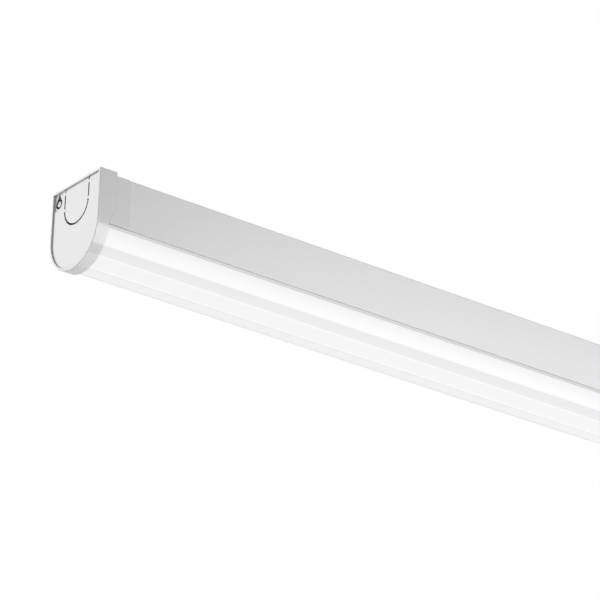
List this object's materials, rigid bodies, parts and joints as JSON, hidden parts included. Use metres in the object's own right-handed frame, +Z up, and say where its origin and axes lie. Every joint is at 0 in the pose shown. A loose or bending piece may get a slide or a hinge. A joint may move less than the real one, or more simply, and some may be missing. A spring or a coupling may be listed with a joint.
{
  "type": "led batten light",
  "caption": "Slim ceiling batten light: folded white spine, round opal diffuser and moulded end caps; the lit part drops off the spine once its end screws are slack.",
  "frame": {"origin": "middle of the two ceiling slots, in the plane where the spine's pads meet the ceiling", "axes": "+X along the batten, +Y across it towards the left end's screw, +Z up into the ceiling"},
  "size_m": [1.2, 0.062, 0.0705],
  "materials": {
    "spine_paint": "fine satin powder coat",
    "cap_white": "satin moulded",
    "diffuser_opal": "opal, soft gloss",
    "zinc_steel": "bright zinc",
    "cup_black": "matt",
    "grommet_rubber": "matt",
    "tray_paint": "gloss white stove enamel",
    "board_mask": "white solder mask",
    "chip_phosphor": "yellow phosphor",
    "connector_white": "moulded",
    "driver_white": "fine moulded grain",
    "terminal_grey": "moulded",
    "lever_orange": "moulded",
    "contact_brass": "bright",
    "wire_brown": "extruded",
    "wire_blue": "extruded",
    "wire_green_yellow": "extruded, striped",
    "wire_red": "extruded",
    "wire_black": "extruded",
    "spring_steel": "tempered"
  },
  "bodies": {
    "spine": {"spine": "spine_paint", "cable_grommet": "grommet_rubber"},
    "left_screw": {"left_cap_screw": "zinc_steel"},
    "right_screw": {"right_cap_screw": "zinc_steel"},
    "live_lever": {"live_lever": "lever_orange"},
    "neutral_lever": {"neutral_lever": "lever_orange"},
    "earth_lever": {"earth_lever": "lever_orange"},
    "light_engine": {"left_end_cap": "cap_white", "right_end_cap": "cap_white", "diffuser": "diffuser_opal", "cap_fixing_screws": "zinc_steel", "board_screws": "zinc_steel", "driver_screws": "zinc_steel", "earth_screw": "zinc_steel", "spring_rivets": "zinc_steel", "clamp_nuts": "zinc_steel", "left_screw_cup": "cup_black", "right_screw_cup": "cup_black", "wire_bush": "grommet_rubber", "gear_tray": "tray_paint", "left_led_board": "board_mask", "right_led_board": "board_mask", "left_led_chips": "chip_phosphor", "right_led_chips": "chip_phosphor", "board_link": "connector_white", "board_inlet": "connector_white", "driver_input": "connector_white", "driver_output": "connector_white", "driver_base": "driver_white", "driver_cover": "driver_white", "terminal_block": "terminal_grey", "terminal_contacts": "contact_brass", "earth_tag": "contact_brass", "live_wire": "wire_brown", "neutral_wire": "wire_blue", "earth_wire": "wire_green_yellow", "led_positive_wire": "wire_red", "led_negative_wire": "wire_black", "left_leaf_spring": "spring_steel", "right_leaf_spring": "spring_steel"}
  },
  "joints": [
    {"name": "light_engine_drop", "type": "slide", "parent": "spine", "child": "light_engine", "axis": [0, 0, -1], "range_m": [0, 0.1]},
    {"name": "left_screw_turn", "type": "hinge", "parent": "light_engine", "child": "left_screw", "pos_m": [-0.598, 0.0241, -0.0097], "axis": [-1, 0, 0], "continuous": true},
    {"name": "right_screw_turn", "type": "hinge", "parent": "light_engine", "child": "right_screw", "pos_m": [0.598, -0.0241, -0.0097], "axis": [1, 0, 0], "continuous": true},
    {"name": "live_lever_lift", "type": "hinge", "parent": "light_engine", "child": "live_lever", "pos_m": [-0.0325, 0.009, -0.0301], "axis": [0, -1, 0], "range_deg": [0, 85]},
    {"name": "neutral_lever_lift", "type": "hinge", "parent": "light_engine", "child": "neutral_lever", "pos_m": [-0.0325, 0, -0.0301], "axis": [0, -1, 0], "range_deg": [0, 85]},
    {"name": "earth_lever_lift", "type": "hinge", "parent": "light_engine", "child": "earth_lever", "pos_m": [-0.0325, -0.009, -0.0301], "axis": [0, -1, 0], "range_deg": [0, 85]}
  ]
}
